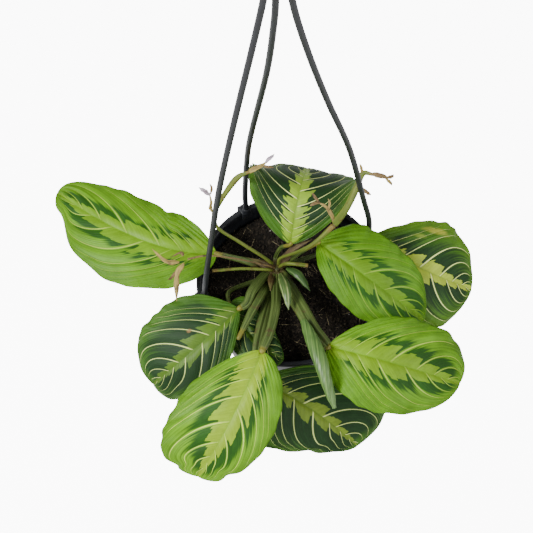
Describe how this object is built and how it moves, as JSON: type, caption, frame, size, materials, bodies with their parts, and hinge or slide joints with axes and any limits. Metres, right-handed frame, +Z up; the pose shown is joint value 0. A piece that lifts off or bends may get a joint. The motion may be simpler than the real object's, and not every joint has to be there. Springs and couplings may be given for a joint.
{
  "type": "potted prayer plant in a hanging pot",
  "caption": "Prayer plant with patterned oval leaves on sheathed stalks, in a round plastic pot that hangs from a hook by stiff strands.",
  "frame": {"origin": "the hook's bearing point, at the inside top of its curve, which is straight above the middle of the pot", "axes": "+Z up; -Y towards the side where the plant hangs lowest over the rim; +X to the right seen from there"},
  "size_m": [0.3103, 0.231, 0.5552],
  "materials": {
    "pot_plastic": "black moulded polypropylene, satin, slightly scuffed",
    "hanger_plastic": "black moulded plastic, soft satin highlight",
    "soil": "damp dark peat with fibres and a few white perlite grains",
    "light_leaf": "satin lime leaf with dark green patches between the side veins",
    "dark_leaf": "satin dark green leaf with a lime jagged centre and cream veins",
    "rolled_leaf": "pale lime unopened leaf, satin",
    "bract": "dark green striped bract, satin",
    "stem": "ribbed olive green sheathed stalk with brown tinges",
    "flower_stalk": "yellow green thin stalk, slightly ribbed",
    "dry_flower": "dry straw coloured and brown flower remains",
    "crown": "brownish green sheathed crown"
  },
  "bodies": {
    "root": {"bract_front": "bract", "bract_right": "bract", "crown": "crown", "cut_stalk_left": "flower_stalk", "cut_stalk_right": "flower_stalk", "dried_bract_1": "dry_flower", "dried_bract_2": "dry_flower", "dried_bract_3": "dry_flower", "dried_stalk": "dry_flower", "dry_sheath_right": "dry_flower", "flower_branch_left": "dry_flower", "flower_branch_right": "dry_flower", "flower_fork_left": "flower_stalk", "flower_fork_right": "flower_stalk", "flower_left": "dry_flower", "flower_right": "dry_flower", "flower_stalk_left": "flower_stalk", "flower_stalk_right": "flower_stalk", "hanger_hook": "hanger_plastic", "hanger_hub": "hanger_plastic", "leaf_far_right": "dark_leaf", "leaf_front": "light_leaf", "leaf_front_right": "dark_leaf", "leaf_left": "light_leaf", "leaf_lower_left": "dark_leaf", "leaf_right_lower": "light_leaf", "leaf_right_upper": "light_leaf", "leaf_top": "dark_leaf", "leaf_under": "dark_leaf", "petiole_far_right": "stem", "petiole_front": "stem", "petiole_front_right": "stem", "petiole_left": "stem", "petiole_lower_left": "stem", "petiole_right_lower": "stem", "petiole_right_upper": "stem", "petiole_top": "stem", "petiole_under": "stem", "pot": "pot_plastic", "rim_clip_back": "hanger_plastic", "rim_clip_left": "hanger_plastic", "rim_clip_right": "hanger_plastic", "rolled_leaf": "rolled_leaf", "shoot_low_left": "stem", "soil": "soil", "strand_back": "hanger_plastic", "strand_left": "hanger_plastic", "strand_right": "hanger_plastic"}
  },
  "joints": []
}
